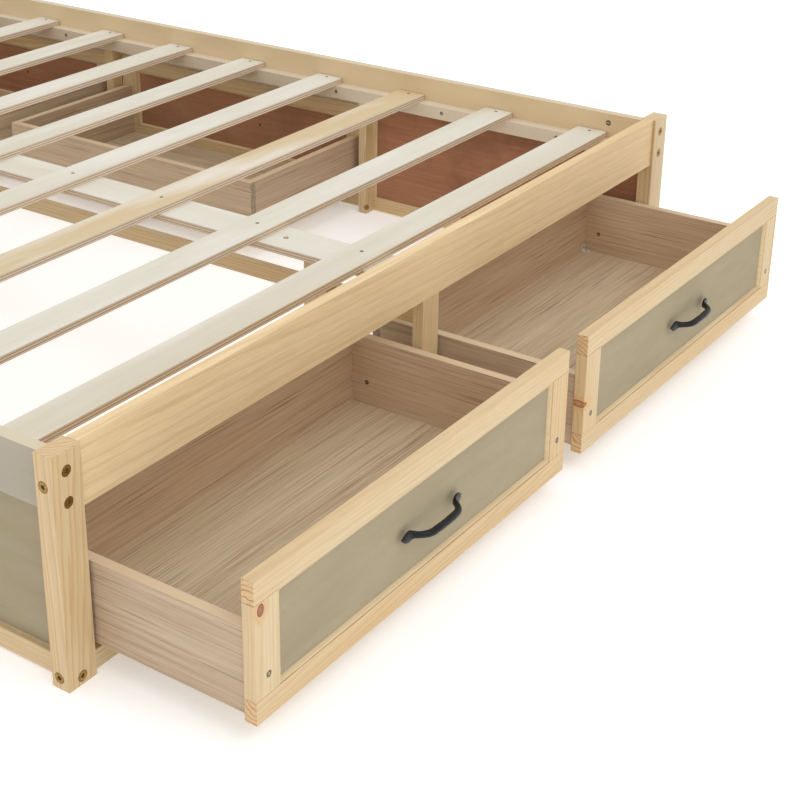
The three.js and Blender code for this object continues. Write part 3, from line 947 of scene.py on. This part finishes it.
# One half of the handle from the tip of its leaf to its middle: how far along from the middle, how far out
# from the front, how wide (up and down), how thick
HANDLE_HALF = [tuple(value * MM for value in station) for station in (
    (70, 1.1, 1.6, 2.0), (67.5, 1.6, 7.8, 3.0), (63, 2.2, 14.6, 4.2), (57.5, 2.5, 17.8, 4.8),
    (53, 2.9, 16.4, 5.2), (49.6, 4.2, 12.4, 6.2), (47.2, 7.0, 10.0, 7.4), (44.8, 10.6, 9.2, 8.4),
    (40.6, 15.0, 9.2, 9.2), (35.4, 18.9, 9.8, 9.8), (28.5, 21.4, 10.4, 10.2), (14, 22.2, 10.8, 10.4))]
HANDLE_MIDDLE = (0.0, 22.5 * MM, 10.6 * MM, 10.3 * MM)
HANDLE_GAP = 0.3 * MM  # between the front's face and the handle's back
HANDLE_SIDES = 20
HANDLE_SMOOTH = 50  # degrees: only sharper edges show
HANDLE_HEIGHT = 133 * MM
HANDLE_SCREW = mm(along=58, radius=2.8, rise=1.2)
STILE_SCREW = mm(inset=24, height=94, radius=4.6)
WALL_SCREW = mm(from_back=28, height=85, radius=3.6)
WHEEL = mm(radius=17, width=14, inset=19)
FORK = mm(thickness=2, half_length=10, clear=1.5, past_axle=5)
FORK_PLATE = mm(wider=6, longer=3)  # than the fork, on each side
AXLE = {"radius": 2.6 * MM, "past_fork": 1 * MM, "segments": 16}
PLASTIC_EDGE = {"width": 1.5 * MM, "segments": 3}
SHEET_EDGE = 0.3 * MM
GLIDE = mm(half=14, depth=12, height=26, inset=40, back=1, clear=0.4)


class Drawer:
    """The places on one drawer. along is the direction of its width, out the way that its front looks."""

    def __init__(self, name):
        self.name = name
        if name in FOOT_DRAWERS:
            self.out, self.along = Vector((0, -1, 0)), Vector((1, 0, 0))
            self.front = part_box(f"{name}_frame")
            self.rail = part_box("foot_bottom_rail")
            boards = [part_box(f"{name}_{part}") for part in ("side_left", "side_right", "back")]
        else:
            self.out, self.along = Vector((side_of(name), 0, 0)), Vector((0, 1, 0))
            self.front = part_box(f"{name}_front")
            self.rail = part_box(f"side_bottom_rail_{label_of(name)}")
            boards = [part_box(f"{name}_box")]
        self.box = (Vector([min(low[axis] for low, _ in boards) for axis in range(3)]),
                    Vector([max(high[axis] for _, high in boards) for axis in range(3)]))
        self.start, self.end = -self.reach(self.front, -self.along), self.reach(self.front, self.along)
        self.middle = (self.start + self.end) / 2
        self.face = self.reach(self.front, self.out)
        self.back = -self.reach(self.box, -self.out)

    def reach(self, corners, direction):
        """The furthest place of a box in a direction, as a number along that direction."""
        return max(Vector(corner).dot(direction) for corner in corners)

    def place(self, along, out, height):
        return self.along * along + self.out * out + Vector((0, 0, height))

    def add_screw_heads(self, part, places, material, radius, **sizes):
        metal_piece(f"{self.name}_{part}", SCREW, places, material, self.name, radius=radius, **sizes)

    def add_handle(self, iron, zinc):
        stations = [(-along, out, wide, thick) for along, out, wide, thick in HANDLE_HALF] + [HANDLE_MIDDLE]
        stations += HANDLE_HALF[::-1]

        def ring(builder, index):
            along, out, wide, thick = stations[index]
            before, after = stations[max(index - 1, 0)], stations[min(index + 1, len(stations) - 1)]
            run = Vector((after[0] - before[0], after[1] - before[1])).normalized()
            loop = []
            for step in range(HANDLE_SIDES):
                angle = 2 * math.pi * step / HANDLE_SIDES
                up, off = math.sin(angle) * wide / 2, math.cos(angle) * thick / 2
                outwards = self.face + HANDLE_GAP + max(out + off * run.x, 0.0)
                sideways = self.middle + along - off * run.y
                loop.append(builder.verts.new(self.place(sideways, outwards, HANDLE_HEIGHT + up)))
            return loop

        def make(builder):
            loops = [ring(builder, index) for index in range(len(stations))]
            skin(builder, loops)
            builder.faces.new(loops[0])
            builder.faces.new(loops[-1][::-1])
            bmesh.ops.recalc_face_normals(builder, faces=builder.faces)

        piece = new_piece(f"{self.name}_cast_handle", make, iron, self.name)
        smooth_by_angle(piece, HANDLE_SMOOTH)
        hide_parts(f"{self.name}_handle")
        behind = self.face - PANEL_RECESS * 2
        screws = [(self.place(self.middle + sign * HANDLE_SCREW["along"], behind, HANDLE_HEIGHT), -self.out)
                  for sign in (-1, 1)]
        self.add_screw_heads("handle_screws", screws, zinc, HANDLE_SCREW["radius"], rise=HANDLE_SCREW["rise"])

    def add_screws(self, zinc, steel):
        front = [(self.place(along, self.face, STILE_SCREW["height"]), self.out)
                 for along in (self.start + STILE_SCREW["inset"], self.end - STILE_SCREW["inset"])]
        self.add_screw_heads("front_screws", front, zinc, STILE_SCREW["radius"])
        out = self.back + DRAWER_WALL + WALL_SCREW["from_back"]
        walls = []
        for sign in (-1, 1):
            inner = sign * (self.reach(self.box, self.along * sign) - DRAWER_WALL)
            walls.append((self.place(inner, out, WALL_SCREW["height"]), self.along * -sign))
        self.add_screw_heads("wall_screws", walls, steel, WALL_SCREW["radius"])

    def add_castor(self, iron, rubber):
        """A small castor under the middle of the drawer's back, which rolls on the floor."""
        centre = self.back + WHEEL["inset"]
        under = self.box[0].z
        axle = self.place(self.middle, centre, WHEEL["radius"])

        def make_wheel(builder):
            axis_cylinder(builder, axle, self.along, WHEEL["radius"], WHEEL["width"])

        wheel = new_piece(f"{self.name}_wheel", make_wheel, rubber, self.name)
        add_bevel(wheel, **PLASTIC_EDGE)

        def make_fork(builder):
            inner = WHEEL["width"] / 2 + FORK["clear"]
            outer = inner + FORK["thickness"]
            half = FORK["half_length"]
            top = under - FORK["thickness"]
            bottom = WHEEL["radius"] - FORK["past_axle"]
            for first, second in ((-outer, -inner), (inner, outer)):
                cuboid(builder, self.place(self.middle + first, centre - half, bottom),
                       self.place(self.middle + second, centre + half, top))
            wide, long = outer + FORK_PLATE["wider"], half + FORK_PLATE["longer"]
            cuboid(builder, self.place(self.middle - wide, centre - long, top),
                   self.place(self.middle + wide, centre + long, under))
            axis_cylinder(builder, axle, self.along, AXLE["radius"], 2 * (outer + AXLE["past_fork"]),
                          AXLE["segments"])

        fork = new_piece(f"{self.name}_fork", make_fork, iron, self.name)
        add_bevel(fork, SHEET_EDGE)

    def add_glides(self, rubber):
        """Two plastic blocks on the inner face of the bottom rail, which the drawer's sides slide over. Above
        the rail they stand back a little, clear of the shut front."""
        inner = -self.reach(self.rail, -self.out)
        top = self.box[0].z - GLIDE["clear"]
        start, end = -self.reach(self.box, -self.along), self.reach(self.box, self.along)
        levels = ((inner, self.rail[1].z - GLIDE["back"]), (inner - GLIDE["back"], top))

        def make(builder):
            for along in (start + GLIDE["inset"], end - GLIDE["inset"]):
                low = self.place(along - GLIDE["half"], inner - GLIDE["depth"], top - GLIDE["height"])
                for outer, upper in levels:
                    cuboid(builder, low, self.place(along + GLIDE["half"], outer, upper))

        piece = new_piece(f"{self.name}_glides", make, rubber, FRAME_BODY)
        add_bevel(piece, **PLASTIC_EDGE)


BRACKET = mm(leg=13, thickness=1.2, width=12)
BRACKET_SCREW = {"along_leg": 0.6 * BRACKET["leg"], "radius": 2 * MM}


def add_corner_bracket(white, steel):
    """A small angle that ties the right foot drawer's back to its bottom, near the right-hand corner."""
    name = FOOT_DRAWERS[1]
    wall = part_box(f"{name}_side_right")[0].x
    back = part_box(f"{name}_back")[0].y
    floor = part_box(f"{name}_bottom")[1].z
    leg, thick, width = BRACKET["leg"], BRACKET["thickness"], BRACKET["width"]

    near, far = wall - width - thick, wall - thick

    def make(builder):
        cuboid(builder, (near, back - thick, floor), (far, back, floor + leg))
        cuboid(builder, (near, back - leg, floor), (far, back - thick, floor + thick))

    piece = new_piece(f"{name}_bracket", make, white, name)
    add_bevel(piece, SHEET_EDGE)
    middle = wall - width / 2 - thick
    along = BRACKET_SCREW["along_leg"]
    screws = [((middle, back - thick, floor + along), (0, -1, 0)),
              ((middle, back - along, floor + thick), UP)]
    metal_piece(f"{name}_bracket_screws", SCREW, screws, steel, name, radius=BRACKET_SCREW["radius"])


make_camera()
make_studio()
dress_frame()
dress_slats()
for index, name in enumerate(FOOT_DRAWERS):
    dress_foot_drawer(name, 4.0 + 3 * index)
for index, name in enumerate(SIDE_DRAWERS):
    dress_side_drawer(name, 9.0 + 2 * index)
iron = cast_black()
brass = worn_metal("antique_brass", BRASS_PALE, BRASS_DARK, 0.38)
zinc = worn_metal("zinc", ZINC_PALE, ZINC_DARK, 0.36)
steel = worn_metal("dark_screw", STEEL_PALE, STEEL_DARK, 0.45)
rubber = plain_plastic("black_plastic", RUBBER_DARK, RUBBER_PALE, 0.5)
white = plain_plastic("white_plastic", PLASTIC_PALE, PLASTIC_DARK, 0.4)
fasten_frame(brass, zinc, steel)
for name in FOOT_DRAWERS + SIDE_DRAWERS:
    drawer = Drawer(name)
    drawer.add_handle(iron, zinc)
    drawer.add_screws(zinc, steel)
    drawer.add_castor(iron, rubber)
    drawer.add_glides(rubber)
add_corner_bracket(white, steel)
